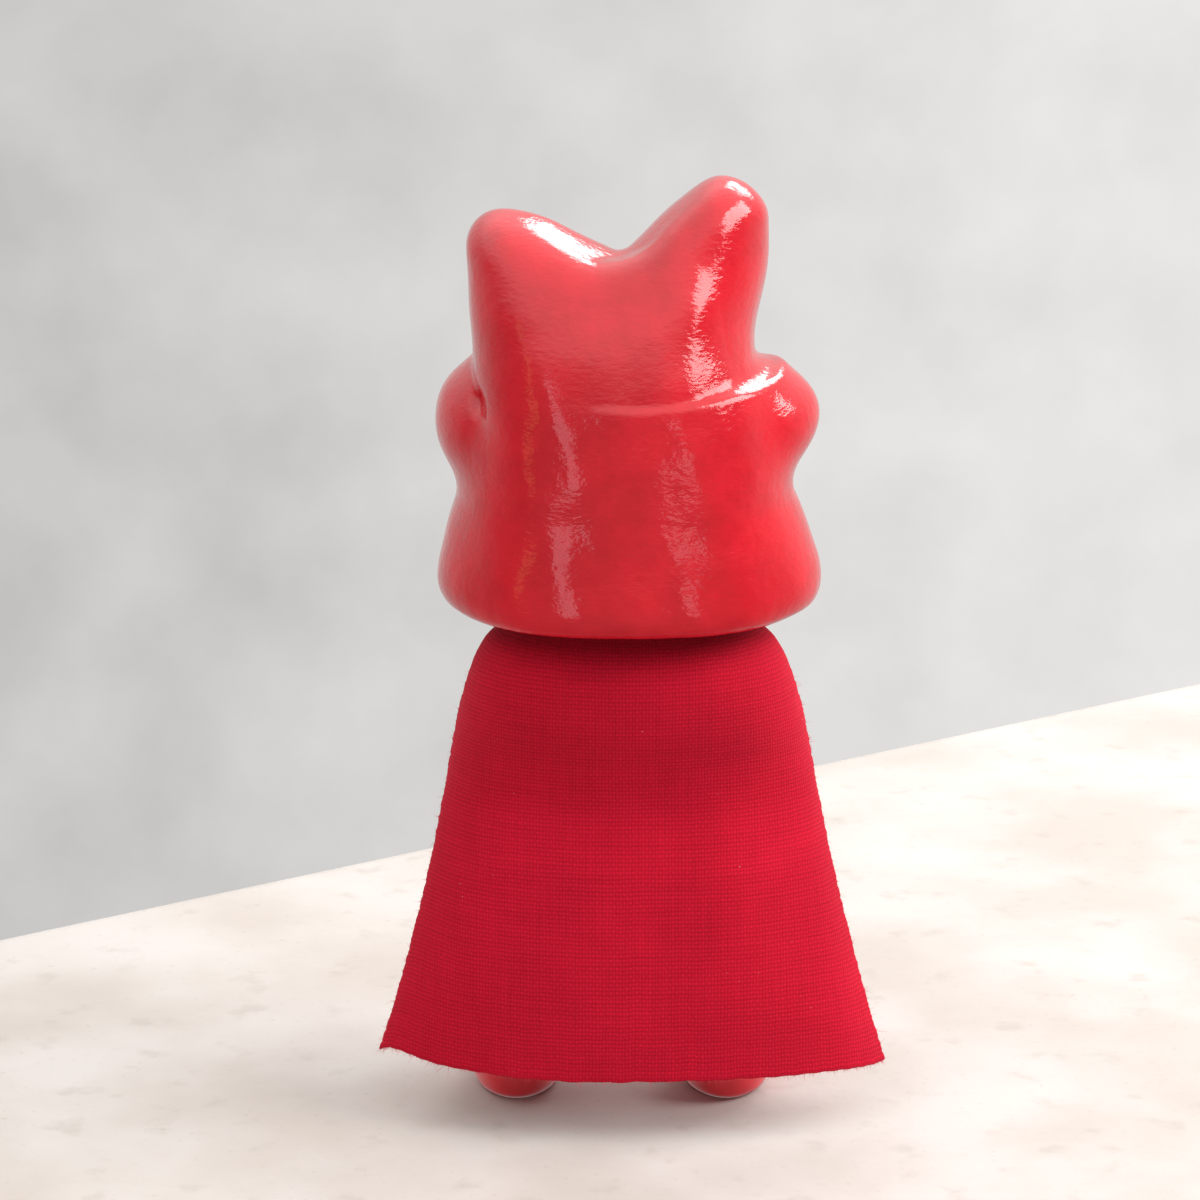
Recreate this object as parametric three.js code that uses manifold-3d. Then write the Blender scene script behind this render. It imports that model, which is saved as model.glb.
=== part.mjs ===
// Small caped figurine with an eared head: a toy of cast, gloss-painted parts that turn on pegs.
// Millimetres, +Z up. The origin lies on the floor midway between the feet, the face looks along +Y
// and the cape hangs down the back, towards -Y.
import * as THREE from 'three';
import { mergeVertices } from 'three/addons/utils/BufferGeometryUtils.js';
import Module from 'manifold-3d';

const wasm = await Module();
wasm.setup();

// ---- driving dimensions -------------------------------------------------------------------------
const GAP = 0.3;            // clearance kept between pieces that touch
const RIM_Z = 63.6;         // lower edge of the head's flared neck guard
const NECK_TOP = 66.4;      // top face of the torso's neck
const NECK_R = 8.0;
const HIP_Z = 16.0;         // flat underside of the torso
const HIP_X = 8.3;          // leg axes, left and right of the middle
const SHOULDER = { x: 15.4, y: 0, z: 51, seat: 12.1, bossR: 3.2 };
const STANCE = -0.9;        // both feet are set a little to the left of the middle
const FOOT_X = 13.2;

const PLATE_T = 2.6;        // neck plate
const PLATE_R = 17.9;
const WASHER_T = 1.4;
const PEG_R = 3.9;          // neck peg
const PEG_HEAD_R = 7.0;
const PEG_HEAD_T = 2.0;
const PIN_R = 1.9;          // shoulder and hip pegs
const FIT = 0.35;           // radial clearance of every peg in its socket

const CLOTH_T = 0.9;        // cape solid, over the cloth's own thickness
const TIE_R = 0.5;
const TIE_RING = 10.2;
const TIE_Z = 63.4;

const COLOUR = {
  gloss: 0xc4141c, limb: 0xa91a20, face: 0xcf3a32, eye: 0x17110f, cloth: 0xb3081f,
  thread: 0x8c0a1a, peg: 0xd8cfc0, felt: 0x5a2a2a,
};

// ---- small tools --------------------------------------------------------------------------------
/** Smooth curve through [position, value] points: a cubic between each pair, level-weighted slopes. */
function through(points) {
  const slope = points.map((point, i) => {
    const before = points[Math.max(i - 1, 0)];
    const after = points[Math.min(i + 1, points.length - 1)];
    return (after[1] - before[1]) / (after[0] - before[0]);
  });
  return (at) => {
    let i = 0;
    while (i < points.length - 2 && at > points[i + 1][0]) i += 1;
    const [p0, v0] = points[i];
    const [p1, v1] = points[i + 1];
    const h = p1 - p0;
    const t = THREE.MathUtils.clamp((at - p0) / h, 0, 1);
    const rise = t * t * (3 - 2 * t);
    return v0 * (1 - rise) + v1 * rise
      + h * (slope[i] * t * (1 - t) ** 2 - slope[i + 1] * t * t * (1 - t));
  };
}

function softMin(a, b, k) {
  const h = THREE.MathUtils.clamp(0.5 + 0.5 * (b - a) / k, 0, 1);
  return b * (1 - h) + a * h - k * h * (1 - h);
}

const softMax = (a, b, k) => -softMin(-a, -b, k);

/** The walls between rings of points, each ring joined to the next one. */
function walls(rings) {
  const around = rings[0].length;
  const index = [];
  for (let r = 0; r < rings.length - 1; r += 1) {
    for (let i = 0; i < around; i += 1) {
      const a = r * around + i;
      const b = r * around + (i + 1) % around;
      index.push(a, b, b + around, a, b + around, a + around);
    }
  }
  return index;
}

function closedBody(points, index) {
  const geometry = new THREE.BufferGeometry();
  const positions = points.flatMap((p) => [p.x, p.y, p.z]);
  geometry.setAttribute('position', new THREE.Float32BufferAttribute(positions, 3));
  geometry.setIndex(index);
  return facingOut(geometry);
}

/** One closed body from rings of points: the first and the last ring close to their middle. */
function loft(rings) {
  const around = rings[0].length;
  const index = walls(rings);
  const middle = (ring) => ring.reduce((sum, p) => sum.add(p), new THREE.Vector3())
    .divideScalar(around);
  const points = [...rings.flat(), middle(rings[0]), middle(rings.at(-1))];
  const last = (rings.length - 1) * around;
  for (let i = 0; i < around; i += 1) {
    const j = (i + 1) % around;
    index.push(points.length - 2, j, i, points.length - 1, last + i, last + j);
  }
  return closedBody(points, index);
}

/** One closed body from flat rings, each one a front face and then the back face in reverse. */
function stripLoft(rings) {
  const around = rings[0].length;
  const index = walls(rings);
  const last = (rings.length - 1) * around;
  for (let i = 0; i < around / 2 - 1; i += 1) {
    const [a, b, c, d] = [i, i + 1, around - 2 - i, around - 1 - i];
    index.push(a, c, b, a, d, c, last + a, last + b, last + c, last + a, last + c, last + d);
  }
  return closedBody(rings.flat(), index);
}

/** Turns every face over if the body's signed volume says that they point inwards. */
function facingOut(geometry) {
  const p = geometry.getAttribute('position');
  const index = geometry.getIndex();
  const [a, b, c] = [new THREE.Vector3(), new THREE.Vector3(), new THREE.Vector3()];
  let volume = 0;
  for (let i = 0; i < index.count; i += 3) {
    a.fromBufferAttribute(p, index.getX(i));
    b.fromBufferAttribute(p, index.getX(i + 1));
    c.fromBufferAttribute(p, index.getX(i + 2));
    volume += a.dot(b.cross(c));
  }
  if (volume < 0) {
    for (let i = 0; i < index.count; i += 3) {
      const swap = index.getX(i);
      index.setX(i, index.getX(i + 1));
      index.setX(i + 1, swap);
    }
  }
  return geometry;
}

/** An ellipse of points at one height. */
function ellipse(z, cx, cy, rx, ry, count) {
  return Array.from({ length: count }, (_, i) => {
    const turn = 2 * Math.PI * i / count;
    return new THREE.Vector3(cx + rx * Math.cos(turn), cy + ry * Math.sin(turn), z);
  });
}

function solid(geometry) {
  const bare = geometry.clone();
  for (const name of ['normal', 'uv']) bare.deleteAttribute(name);
  const merged = mergeVertices(bare, 1e-5);
  const vertProperties = new Float32Array(merged.getAttribute('position').array);
  const triVerts = new Uint32Array(merged.getIndex().array);
  return new wasm.Manifold(new wasm.Mesh({ numProp: 3, vertProperties, triVerts }));
}

function geometryOf(manifold) {
  const { vertProperties, triVerts } = manifold.getMesh();
  const geometry = new THREE.BufferGeometry();
  geometry.setAttribute('position', new THREE.Float32BufferAttribute(vertProperties, 3));
  geometry.setIndex(Array.from(triVerts));
  return geometry;
}

function cut(geometry, ...cutters) {
  return geometryOf(cutters.reduce((body, cutter) => body.subtract(solid(cutter)), solid(geometry)));
}

function join(...geometries) {
  return geometryOf(geometries.map(solid).reduce((body, more) => body.add(more)));
}

/** A round bar between two heights on the Z axis through (x, y). */
function upright(radius, low, high, x = 0, y = 0, sides = 24) {
  const bar = new THREE.CylinderGeometry(radius, radius, high - low, sides);
  return bar.rotateX(Math.PI / 2).translate(x, y, (low + high) / 2);
}

/** A round bar along X between two places, at the shoulder's height. */
function crossbar(radius, from, to) {
  const bar = new THREE.CylinderGeometry(radius, radius, Math.abs(to - from), 20);
  return bar.rotateZ(Math.PI / 2).translate((from + to) / 2, SHOULDER.y, SHOULDER.z);
}

function egg(cx, cy, cz, rx, ry, rz, sides = 14) {
  return new THREE.SphereGeometry(1, sides, sides / 2).scale(rx, ry, rz).translate(cx, cy, cz);
}

/** A ring of the given outline, turned round Z: outline is a closed list of [radius, height]. */
function turned(outline, sides = 28) {
  const points = [...outline, outline[0]].map(([r, z]) => new THREE.Vector2(r, z));
  return new THREE.LatheGeometry(points, sides).rotateX(Math.PI / 2);
}

// ---- head: a crown with two ears over a cheek-and-neck-guard form ---------------------------------
const crownWidth = through([[60, 17.6], [80, 17.6], [90, 17.5], [96, 17.6], [104, 18.1], [109, 18.2],
  [112, 17.8], [116, 16.3]]);
const crownDepth = through([[60, 20.3], [80, 20.3], [87, 20.2], [91, 19.9], [96, 18.8], [100, 17.2],
  [104, 15.0], [108, 12.4], [112, 9.6], [116, 7.0]]);
const guardWidth = through([[RIM_Z, 22.1], [64.2, 22.9], [65.8, 23.5], [68, 23.4], [70.6, 22.75],
  [73.1, 22.0], [75.6, 21.1], [77.1, 20.5], [80, 20.0], [85, 19.6], [91, 18.6], [97, 17]]);
const guardDepth = through([[RIM_Z, 21.1], [64.2, 21.8], [65.8, 22.3], [68, 22.1], [70.6, 21.6],
  [73.1, 21.1], [75.6, 20.8], [77.1, 20.7], [80, 20.8], [85, 20.9], [89, 20.6], [91, 20.2], [97, 19]]);
const CROWN_X = -1.45;      // the crown is sculpted a little to the left
const EARS = [
  { x: -16.5, top: 111.5, reach: 8.0, fall: 0.62 },     // left ear: broad and low
  { x: 11.8, top: 115.4, reach: 5.6, fall: 1.19 },     // right ear: tall and narrow
];
const LOBES = [
  { x: -16.7, y: 3.0, z: 85.5, rx: 7.1, ry: 12.5, rz: 7.4, lean: -0.26, blend: 4 },
  { x: 14.7, y: 1.8, z: 85.2, rx: 8.7, ry: 12.5, rz: 6.0, lean: 0.29, blend: 4 },
];

/** Height of the crest over x: each ear is one branch of a hyperbola, and they meet in a saddle. */
function crest(x, blend) {
  const [left, right] = EARS.map((ear) => {
    const run = Math.sqrt(1 + ((x - ear.x) / ear.reach) ** 2) - 1;
    return ear.top - run * ear.reach * ear.fall;
  });
  return softMax(left, right, blend);
}

function lobeField(lobe, x, y, z) {
  const cos = Math.cos(lobe.lean);
  const sin = Math.sin(lobe.lean);
  const dx = (x - lobe.x) * cos + (z - lobe.z) * sin;
  const dz = (z - lobe.z) * cos - (x - lobe.x) * sin;
  const dy = y - lobe.y;
  const near = Math.hypot(dx / lobe.rx, dy / lobe.ry, dz / lobe.rz);
  const steep = Math.hypot(dx / lobe.rx ** 2, dy / lobe.ry ** 2, dz / lobe.rz ** 2);
  return near * (near - 1) / Math.max(steep, 1e-6);
}

const oval = (x, y, rx, ry, power) => (
  (Math.abs(x / rx) ** power + Math.abs(y / ry) ** power) ** (1 / power) - 1) * Math.min(rx, ry);

/** Negative inside the head: the crown under its crest, joined to the guard and its two side lobes. */
function headField(x, y, z) {
  const { clamp, smoothstep } = THREE.MathUtils;
  const slope = 2.4 + 1.4 * clamp((-x - 2) / 8, 0, 1);
  const rounding = slope * y * y / (y * y + 90);
  const pinch = 0.55 * (111 - crest(x, 8)) * clamp((z - 88) / 14, 0, 1);
  const tuck = 1.1 * Math.exp(-(((z - 96.5) / 5) ** 2)) * clamp((x - 1) / 12, 0, 1) ** 1.5;
  const hollow = 2.2 * Math.exp(-(((z - 103) / 9) ** 2) - ((x - 13) / 8) ** 2) * clamp(-y / 12, 0, 1);
  const walls = oval(x - CROWN_X, y, crownWidth(z), crownDepth(z + pinch), 2.7) + tuck + hollow;
  const top = crest(x, 2.3 + 5 * smoothstep(-y, 2, 9));
  const crown = softMax(walls, (z - top + rounding) / 1.2, 3.5 - clamp((x - 8) / 6, 0, 1));
  const shift = 0.4 * Math.exp(-(((z - 78) / 6) ** 2));
  const bell = oval(x + shift, y, guardWidth(z), guardDepth(z), 2.12);
  const ledge = softMax(bell, z - 90.6 - 0.004 * x * x, 0.7);
  const guard = LOBES.reduce((form, lobe) => softMin(form, lobeField(lobe, x, y, z), lobe.blend), ledge);
  const fillet = 0.5 + 2.2 * (1 - smoothstep(z, 80.5, 89.5)) + 2 * smoothstep(x, 4, 14);
  return softMin(crown, guard, fillet);
}

/** Distance along a ray at which the head's surface is met, found by halving. */
function headReach(origin, way) {
  let [near, far] = [3, 42];
  const at = new THREE.Vector3();
  for (let step = 0; step < 24; step += 1) {
    const middle = (near + far) / 2;
    at.copy(way).multiplyScalar(middle).add(origin);
    if (headField(at.x, at.y, at.z) < 0) near = middle;
    else far = middle;
  }
  return near;
}

const FAN_Z = 84;           // rays fan out from this height, and run level below it
const HEAD_X = -0.8;
const CAVITY = through([[RIM_Z, 19.2], [67.5, 18.8], [71.5, 18.25], [77, 17.3], [84, 16.4], [90, 15.4],
  [96, 12.6], [100, 8.6], [102, 4.4], [103, 1.2]]);

function headShell() {
  const around = 48;
  const rings = [];
  const ringAt = (z, rise) => Array.from({ length: around }, (_, i) => {
    const turn = 2 * Math.PI * i / around;
    const way = new THREE.Vector3(
      Math.cos(turn) * Math.cos(rise), Math.sin(turn) * Math.cos(rise), Math.sin(rise));
    const origin = new THREE.Vector3(HEAD_X, 0, z);
    return origin.clone().addScaledVector(way, headReach(origin, way));
  });
  const fan = 17;
  for (let i = 1; i <= fan; i += 1) rings.push(ringAt(FAN_Z, Math.PI / 2 * (1 - i / fan)));
  const steps = [81, 79, 77.4, 75.8, 73, 70, 67, 65.2, RIM_Z];
  for (const z of steps) rings.push(ringAt(z, 0));
  const inside = [RIM_Z, 67.5, 71.5, 77, 84, 90, 95, 99, 101.5, 103];
  for (const z of inside) rings.push(ellipse(z, 0, 0, CAVITY(z), CAVITY(z), around));
  return loft(rings);
}

// ---- face plate: an oval mask set into the front of the head ---------------------------------------
const FACE = { z: 83, width: 14.4, height: 10.8, depth: 1.7 };
const EYE = { x: 6.4, z: 86.2, rx: 2.3, ry: 1.3, rz: 2.7, sunk: 0.35 };
const NOSE = { z: 80.6, rx: 2.0, ry: 1.4, rz: 1.3, sunk: 0.5 };

/** How far the mask stands proud of the head: a soft muzzle below the middle, low cheeks beside it. */
function faceRelief(x, z) {
  const muzzle = 1.7 * Math.exp(-((x / 5.2) ** 2) - (((z - 78.6) / 3.6) ** 2));
  const cheeks = 0.5 * Math.exp(-(((Math.abs(x) - 8.5) / 4) ** 2) - (((z - 79) / 4) ** 2));
  return muzzle + cheeks;
}

function facePoint(across, up, out, relief) {
  const x = across * FACE.width;
  const z = FACE.z + up * FACE.height;
  const origin = new THREE.Vector3(0, 0, FACE.z);
  const way = new THREE.Vector3(x, 19.5, z - FACE.z).normalize();
  const reach = headReach(origin, way) + out;
  return origin.addScaledVector(way, relief ? reach + faceRelief(x, z) : reach);
}

/** The mask's solid between two depths; grow widens its outline. */
function maskSolid(inner, outer, grow, relief) {
  const [around, across] = [36, 7];
  const rings = [];
  const ringAt = (share, out, proud) => Array.from({ length: around }, (_, i) => {
    const turn = 2 * Math.PI * i / around;
    const size = share * grow;
    return facePoint(size * Math.cos(turn), size * Math.sin(turn), out, proud);
  });
  for (let i = 1; i <= across; i += 1) rings.push(ringAt(i / across, outer, relief));
  for (let i = across; i >= 1; i -= 1) rings.push(ringAt(i / across, inner, false));
  return loft(rings);
}

function faceSurfaceY(x, z) {
  return facePoint(x / FACE.width, (z - FACE.z) / FACE.height, 0.1, true).y;
}

const eyeBall = (side, grow) => egg(side * EYE.x, faceSurfaceY(side * EYE.x, EYE.z) - EYE.sunk, EYE.z,
  EYE.rx + grow, EYE.ry + grow, EYE.rz + grow);
const noseBall = (grow) => egg(0, faceSurfaceY(0, NOSE.z) - NOSE.sunk, NOSE.z,
  NOSE.rx + grow, NOSE.ry + grow, NOSE.rz + grow);

// ---- torso, limbs -------------------------------------------------------------------------------
const TORSO_ROWS = [  // height, half width, half depth
  [HIP_Z, 13.6, 11.2], [17.6, 15.2, 12.6], [20.5, 16.3, 13.7], [25, 16.6, 14.1], [30, 16.0, 13.4],
  [36, 14.2, 12.0], [43, 11.9, 10.6], [50, 10.7, 9.8], [55, 10.2, 9.3], [58, 9.2, 8.7],
  [60, NECK_R + 0.2, NECK_R + 0.1], [61.5, NECK_R, NECK_R], [NECK_TOP, NECK_R, NECK_R],
];
const SOCKET_FLOOR = 57.7;  // bottom of the neck peg's socket
const PIN_IN_TORSO = 4.8;   // how deep each shoulder and hip peg sits in the torso
const PIN_IN_LIMB = 3.6;

function torso() {
  const bosses = [-1, 1].map((side) => crossbar(SHOULDER.bossR, 0, side * SHOULDER.seat));
  const body = join(loft(TORSO_ROWS.map(([z, rx, ry]) => ellipse(z, 0, 0, rx, ry, 30))), ...bosses);
  const sockets = [upright(PEG_R + FIT, SOCKET_FLOOR, NECK_TOP + 2)];
  for (const side of [-1, 1]) {
    sockets.push(crossbar(PIN_R + FIT, side * (SHOULDER.seat - PIN_IN_TORSO - GAP), side * 14));
    sockets.push(upright(PIN_R + FIT, HIP_Z - 2, HIP_Z + PIN_IN_TORSO + GAP, side * HIP_X));
  }
  return cut(body, ...sockets);
}

/** An arm: round sections along a hanging curve, closed by half-round ends, with a mitten hand. */
function arm(side) {
  const path = new THREE.CatmullRomCurve3([
    new THREE.Vector3(side * SHOULDER.x, SHOULDER.y, SHOULDER.z),
    new THREE.Vector3(side * 16.6, 0.3, 44),
    new THREE.Vector3(side * 18.4, 1.3, 37.5),
    new THREE.Vector3(side * 20.4, 3.0, 31.5),
  ]);
  const radius = through([[0, 4.4], [0.35, 3.6], [0.7, 2.9], [1, 3.4]]);
  const rings = [];
  const around = 16;
  const ringAt = (along, slide, size) => {
    const centre = path.getPointAt(along);
    const down = path.getTangentAt(along);
    const out = new THREE.Vector3(0, 1, 0).cross(down).normalize();
    const fore = down.clone().cross(out);
    centre.addScaledVector(down, slide);
    return Array.from({ length: around }, (_, i) => {
      const turn = 2 * Math.PI * i / around;
      return centre.clone().addScaledVector(out, size * Math.cos(turn))
        .addScaledVector(fore, size * Math.sin(turn));
    });
  };
  const capSteps = [75, 50, 25].map(THREE.MathUtils.degToRad);
  for (const rise of capSteps) rings.push(ringAt(0, -radius(0) * Math.sin(rise), radius(0) * Math.cos(rise)));
  const spans = 7;
  for (let i = 0; i <= spans; i += 1) rings.push(ringAt(i / spans, 0, radius(i / spans)));
  for (const rise of [...capSteps].reverse()) {
    rings.push(ringAt(1, radius(1) * Math.sin(rise), radius(1) * Math.cos(rise)));
  }
  const face = SHOULDER.seat + GAP;
  const socket = crossbar(PIN_R + FIT, side * 9, side * (face + PIN_IN_LIMB + GAP));
  const flat = new THREE.BoxGeometry(8, 12, 12).translate(side * (face - 4), SHOULDER.y, SHOULDER.z);
  return cut(loft(rings), socket, flat);
}

/** A stubby leg on a rounded foot with a flat sole: level ovals that wander from the hip to the foot. */
function leg(side) {
  const foot = STANCE + side * FOOT_X;
  const hip = side * HIP_X;
  const rows = [  // height, share of the way from hip to foot, middle y, half width, half length
    [0, 1, 2.4, 4.7, 8.2], [0.5, 1, 2.4, 5.3, 9.1], [1.4, 1, 2.4, 5.6, 9.6], [3.2, 1, 2.4, 5.8, 9.8],
    [5.2, 0.97, 2.1, 5.6, 9.0], [7.0, 0.85, 1.3, 5.3, 7.4], [9.0, 0.6, 0.3, 5.1, 5.8],
    [11.5, 0.25, -0.1, 5.0, 5.1], [HIP_Z - GAP, 0, 0, 5.1, 5.1],
  ];
  const body = loft(rows.map(([z, share, y, rx, ry]) => (
    ellipse(z, hip + (foot - hip) * share, y, rx, ry, 24))));
  return cut(body, upright(PIN_R + FIT, HIP_Z - PIN_IN_LIMB - 2 * GAP, HIP_Z + 2, hip));
}

// ---- cape: one sheet from the neck over the shoulders to the hem -----------------------------------
const CAPE_TOP = 62.2;
const HEM_Z = 7.0;
const capeHalfWidth = through([[HEM_Z, 31.2], [15, 28.8], [24, 26.4], [32, 24.5], [40, 22.9], [45, 22.0],
  [50, 21.0], [55, 19.6], [58, 18.3], [60, 16.6], [61.4, 13.2], [CAPE_TOP, 10.3]]);
const capeBack = through([[HEM_Z, -20.4], [15, -20.0], [24, -18.4], [32, -16.6], [36, -15.0], [40, -13.9], [45, -14.6],
  [50, -16.5], [55, -17.4], [58, -16.8], [60, -15.2], [61.4, -12.7], [CAPE_TOP, -10.3]]);
const capeHook = through([[HEM_Z, 10.0], [24, 10.6], [40, 11.3], [50, 13.2], [58, 15.0], [CAPE_TOP, 15.4]]);
const capeTurn = through([[HEM_Z, 76], [24, 80], [40, 85], [50, 90], [58, 100], [CAPE_TOP, 120]]);

/** A point of the sheet: u runs from edge to edge as -1 to 1, z is its height. */
function capePoint(u, z) {
  const half = THREE.MathUtils.degToRad(capeTurn(z));
  const widest = Math.sin(Math.min(half, Math.PI / 2));
  return new THREE.Vector3(
    capeHalfWidth(z) * Math.sin(u * half) / widest,
    capeBack(z) + capeHook(z) * (1 - Math.cos(u * half)) / (1 - Math.cos(half)),
    z);
}

/** A sheet of even thickness between two faces, each the middle surface moved along its normal. */
function sheet(pointAt, columns, heights, thickness) {
  const reach = 0.02;
  const row = (z, side) => Array.from({ length: columns + 1 }, (_, i) => {
    const u = 2 * i / columns - 1;
    const across = pointAt(u + reach, z).sub(pointAt(u - reach, z));
    const along = pointAt(u, z + reach).sub(pointAt(u, z - reach));
    const normal = across.cross(along).normalize();
    return pointAt(u, z).addScaledVector(normal, side * thickness / 2);
  });
  return stripLoft(heights.map((z) => [...row(z, 1), ...row(z, -1).reverse()]));
}

function cape() {
  const heights = [HEM_Z, 13, 19, 25, 31, 37, 43, 49, 54, 57.5, 59.6, 60.9, CAPE_TOP];
  return sheet(capePoint, 22, heights, CLOTH_T);
}

/** The folded neck edge of the cape, a flat band standing round the neck and open at the throat. */
function collar() {
  const radius = NECK_R + GAP + 0.5;
  const half = THREE.MathUtils.degToRad(150);
  const band = (u, z) => new THREE.Vector3(radius * Math.sin(u * half), -radius * Math.cos(u * half), z);
  return sheet(band, 24, [60.6, 62.4, 64.2], 0.8);
}

function tie() {
  return new THREE.TorusGeometry(TIE_RING, TIE_R, 7, 34).translate(0, 0, TIE_Z);
}

/** The knot at the throat with its two short ends hanging in front of the chest. */
function knot() {
  const front = TIE_RING + TIE_R + GAP + 1.3;
  const ends = [-1, 1].map((side) => {
    const fall = new THREE.CatmullRomCurve3([
      new THREE.Vector3(0, front, TIE_Z - 0.3),
      new THREE.Vector3(side * 1.2, front + 0.4, TIE_Z - 2.5),
      new THREE.Vector3(side * 2.2, front, TIE_Z - 9),
    ]);
    const section = new THREE.Shape().absarc(0, 0, 0.45, 0, 2 * Math.PI);
    return new THREE.ExtrudeGeometry(section, { extrudePath: fall, steps: 8, curveSegments: 4 });
  });
  return join(egg(0, front, TIE_Z, 1.6, 1.3, 1.2, 12), ...ends);
}

// ---- pegs and neck ------------------------------------------------------------------------------
const PLATE_Z = NECK_TOP + GAP + WASHER_T + GAP;

function neckPlate() {
  const hole = PEG_R + FIT;
  return turned([[hole, PLATE_Z], [PLATE_R, PLATE_Z], [PLATE_R, PLATE_Z + PLATE_T],
    [hole, PLATE_Z + PLATE_T]]);
}

function neckWasher() {
  const [low, high] = [NECK_TOP + GAP, NECK_TOP + GAP + WASHER_T];
  return turned([[PEG_R + FIT, low], [NECK_R - 0.4, low], [NECK_R - 0.4, high], [PEG_R + FIT, high]]);
}

/** The mushroom-headed peg: its shank stands in the torso, its domed head holds the neck plate. */
function neckPeg() {
  const [foot, under] = [SOCKET_FLOOR + GAP, PLATE_Z + PLATE_T + GAP];
  const outline = [[0, foot], [PEG_R, foot], [PEG_R, under], [PEG_HEAD_R, under],
    [PEG_HEAD_R, under + 0.8], [PEG_HEAD_R * 0.7, under + PEG_HEAD_T], [0, under + PEG_HEAD_T]];
  const points = outline.map(([r, z]) => new THREE.Vector2(r, z));
  return new THREE.LatheGeometry(points, 28).rotateX(Math.PI / 2);
}

const shoulderPeg = (side) => crossbar(
  PIN_R, side * (SHOULDER.seat - PIN_IN_TORSO), side * (SHOULDER.seat + GAP + PIN_IN_LIMB));
const hipPeg = (side) => upright(PIN_R, HIP_Z - PIN_IN_LIMB - GAP, HIP_Z + PIN_IN_TORSO, side * HIP_X);

// ---- the figurine -------------------------------------------------------------------------------
const paint = {
  gloss: { color: COLOUR.gloss, roughness: 0.12, metalness: 0 },
  limb: { color: COLOUR.limb, roughness: 0.25, metalness: 0 },
  face: { color: COLOUR.face, roughness: 0.3, metalness: 0 },
  eye: { color: COLOUR.eye, roughness: 0.05, metalness: 0 },
  cloth: { color: COLOUR.cloth, roughness: 0.9, metalness: 0 },
  thread: { color: COLOUR.thread, roughness: 0.8, metalness: 0 },
  peg: { color: COLOUR.peg, roughness: 0.5, metalness: 0 },
  felt: { color: COLOUR.felt, roughness: 1, metalness: 0 },
};

const figurine = new THREE.Group();

function add(name, geometry, finish) {
  const mesh = new THREE.Mesh(geometry, new THREE.MeshStandardMaterial(paint[finish]));
  mesh.name = name;
  figurine.add(mesh);
}

const maskBed = maskSolid(-FACE.depth - GAP, 4, 1.02, false);
const mask = maskSolid(-FACE.depth, 0.1, 1, true);

add('head_shell', cut(headShell(), maskBed), 'gloss');
add('face_plate', cut(mask, eyeBall(-1, GAP), eyeBall(1, GAP), noseBall(GAP)), 'face');
add('left_eye', eyeBall(-1, 0), 'eye');
add('right_eye', eyeBall(1, 0), 'eye');
add('nose', noseBall(0), 'eye');
add('neck_plate', neckPlate(), 'peg');
add('neck_washer', neckWasher(), 'felt');
add('neck_peg', neckPeg(), 'peg');
add('torso', torso(), 'limb');
for (const [name, side] of [['left', -1], ['right', 1]]) {
  add(`${name}_arm`, arm(side), 'limb');
  add(`${name}_shoulder_peg`, shoulderPeg(side), 'peg');
  add(`${name}_leg`, leg(side), 'limb');
  add(`${name}_hip_peg`, hipPeg(side), 'peg');
}
add('cape', cape(), 'cloth');
add('cape_collar', collar(), 'cloth');
add('cape_tie', tie(), 'thread');
add('tie_knot', knot(), 'thread');

export default figurine;
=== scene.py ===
import math

import bpy
import numpy as np
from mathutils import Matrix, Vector


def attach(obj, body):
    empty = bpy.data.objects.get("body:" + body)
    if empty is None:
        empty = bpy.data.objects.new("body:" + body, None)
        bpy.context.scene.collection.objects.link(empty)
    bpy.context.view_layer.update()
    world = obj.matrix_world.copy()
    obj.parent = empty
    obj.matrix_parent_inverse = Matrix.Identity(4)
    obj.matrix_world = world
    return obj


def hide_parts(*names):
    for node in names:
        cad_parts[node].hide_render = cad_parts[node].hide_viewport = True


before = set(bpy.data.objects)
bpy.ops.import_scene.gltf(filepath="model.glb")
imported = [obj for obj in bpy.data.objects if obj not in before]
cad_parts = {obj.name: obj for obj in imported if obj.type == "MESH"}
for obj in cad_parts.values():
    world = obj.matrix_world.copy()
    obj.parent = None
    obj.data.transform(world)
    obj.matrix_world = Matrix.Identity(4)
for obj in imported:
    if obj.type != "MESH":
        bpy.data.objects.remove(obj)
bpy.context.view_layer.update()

# ---- Camera, ledge and daylight -----------------------------------------------------------------
# The figurine stands on a pale stone ledge, seen from behind and a little above. The light is soft
# daylight: bright sky to the right and beyond the ledge, a dimmer sky overhead, grey walls around,
# and three faint glows low down on the camera's side, as from two doorways and a warm lamp.
MM = 0.001


class Value:
    """A number on its way through a shader: Python's arithmetic on it adds the Math nodes."""

    def __init__(self, graph, socket):
        self.graph, self.socket = graph, socket

    def maths(self, operation, *terms):
        return self.graph.node("ShaderNodeMath", {"operation": operation}, dict(enumerate(terms)))

    def __add__(self, other):
        return self.maths("ADD", self, other)

    def __sub__(self, other):
        return self.maths("SUBTRACT", self, other)

    def __rsub__(self, other):
        return self.maths("SUBTRACT", other, self)

    def __mul__(self, other):
        return self.maths("MULTIPLY", self, other)

    def __abs__(self):
        return self.maths("ABSOLUTE", self)

    __radd__, __rmul__ = __add__, __mul__

    def sine(self):
        return self.maths("SINE", self)

    def above(self, other):
        return self.maths("MAXIMUM", self, other)

    def rise(self, low, high, start=0.0, end=1.0):
        """An eased step from start to end as the value goes from low to high."""
        return self.graph.node(
            "ShaderNodeMapRange", {"interpolation_type": "SMOOTHSTEP"},
            {0: self, 1: low, 2: high, 3: start, 4: end})

    def also(self, output):
        """Another output of the node that this value comes from."""
        return Value(self.graph, self.socket.node.outputs[output])


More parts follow.
